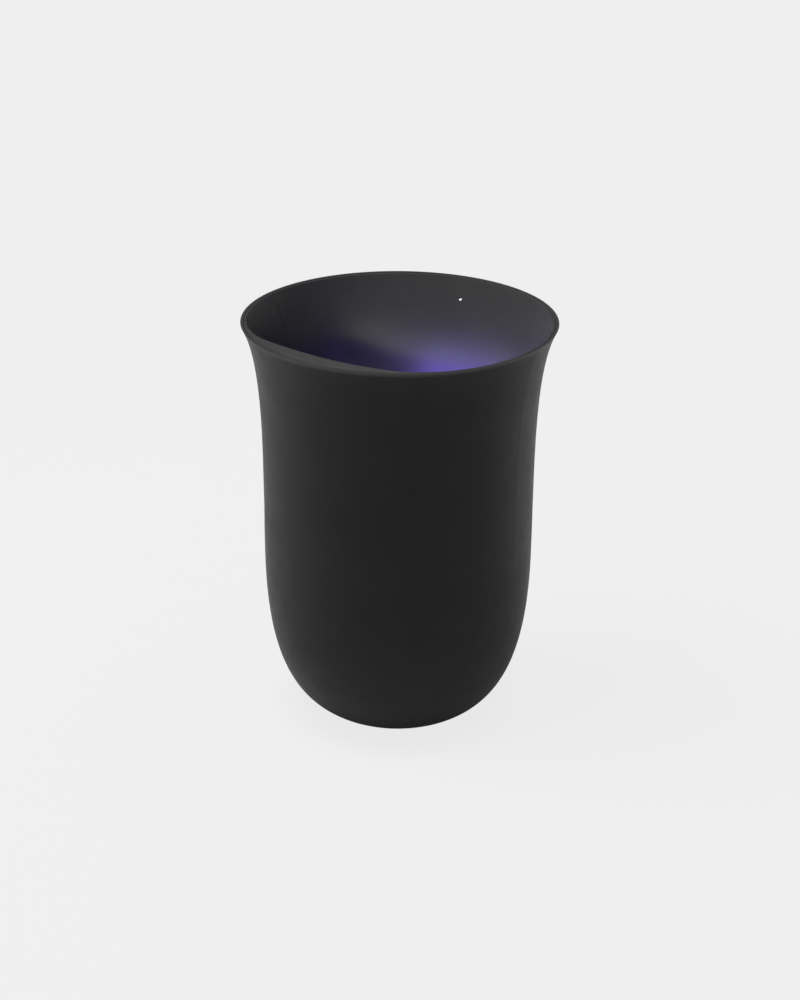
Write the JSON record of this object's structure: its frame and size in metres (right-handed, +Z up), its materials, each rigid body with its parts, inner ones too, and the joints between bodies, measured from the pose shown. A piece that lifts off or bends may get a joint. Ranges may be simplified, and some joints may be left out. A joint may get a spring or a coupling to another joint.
{
  "type": "uv sanitizer box for phones",
  "caption": "Round cup with a flared rim that holds, charges and sanitizes a phone: leaning charging wall, lamp behind a window, sprung rest and weighted base.",
  "frame": {"origin": "centre of the foot's underside, on the table", "axes": "+Z up along the cup's axis, -Y towards the side that the phone's screen and the lamp are on, +Y towards the charging wall and the power socket"},
  "size_m": [0.13, 0.13, 0.18],
  "materials": {
    "shell_black": "fine soft-touch texture",
    "liner_black": "fine satin texture",
    "foot_silicone": "matt silicone",
    "cover_plastic": "fine spark-eroded texture",
    "inner_plastic": "as moulded",
    "ballast_steel": "zinc plated",
    "screw_steel": "zinc plated",
    "spring_steel": "drawn wire",
    "board_green": "solder mask over glass laminate",
    "lamp_board_white": "white solder mask over aluminium",
    "chip_black": "moulded epoxy",
    "can_aluminium": "bright can",
    "socket_white": "natural nylon",
    "contact_gold": "gold plated",
    "coil_copper": "enamelled copper",
    "ferrite_grey": "sintered",
    "window_quartz": "clear quartz",
    "gasket_silicone": "foamed silicone",
    "emitter_ceramic": "lens on ceramic",
    "pipe_clear": "clear acrylic",
    "led_white": "phosphor lens",
    "lead_jacket": "flexible jacket"
  },
  "bodies": {
    "cup": {"ballast": "ballast_steel", "base_cover": "cover_plastic", "board_screws": "screw_steel", "capacitors": "can_aluminium", "charger_chip": "chip_black", "charging_coil": "coil_copper", "chassis": "inner_plastic", "chassis_screws": "screw_steel", "coil_carrier": "inner_plastic", "coil_lead": "lead_jacket", "coil_screws": "screw_steel", "coil_sensor": "ferrite_grey", "coil_socket": "socket_white", "control_chip": "chip_black", "cover_screws": "screw_steel", "ferrite_disc": "ferrite_grey", "foot_ring": "foot_silicone", "heat_sink": "can_aluminium", "inductors": "chip_black", "lamp_board": "lamp_board_white", "lamp_emitters": "emitter_ceramic", "lamp_lead": "lead_jacket", "lamp_reflector": "can_aluminium", "lamp_screws": "screw_steel", "lamp_socket": "socket_white", "lamp_window": "window_quartz", "light_pipe": "pipe_clear", "liner_front": "liner_black", "liner_rear": "liner_black", "liner_screws": "screw_steel", "main_board": "board_green", "outer_shell": "shell_black", "port_bezel": "liner_black", "rest_spring_left": "spring_steel", "rest_spring_right": "spring_steel", "rest_switch": "chip_black", "seam_screws": "screw_steel", "status_board": "board_green", "status_lead": "lead_jacket", "status_led": "led_white", "status_screws": "screw_steel", "status_socket": "socket_white", "usb_contacts": "contact_gold", "usb_shell": "spring_steel", "usb_tongue": "chip_black", "window_gasket": "gasket_silicone"},
    "rest": {"phone_rest": "cover_plastic", "rest_pad": "foot_silicone", "rest_clips": "screw_steel"},
    "plunger": {"switch_plunger": "socket_white"}
  },
  "joints": [
    {"name": "rest_press", "type": "slide", "parent": "cup", "child": "rest", "axis": [0, 0, -1], "range_m": [0, 0.0015], "stiffness_N_per_m": 900, "springref_m": -0.0004, "deforming": ["rest_spring_left", "rest_spring_right"]},
    {"name": "plunger_press", "type": "slide", "parent": "cup", "child": "plunger", "axis": [0, 0, -1], "range_m": [0, 0.0015]}
  ],
  "couplings": [
    {"joint": "plunger_press", "follows": "rest_press", "ratio": 1}
  ]
}
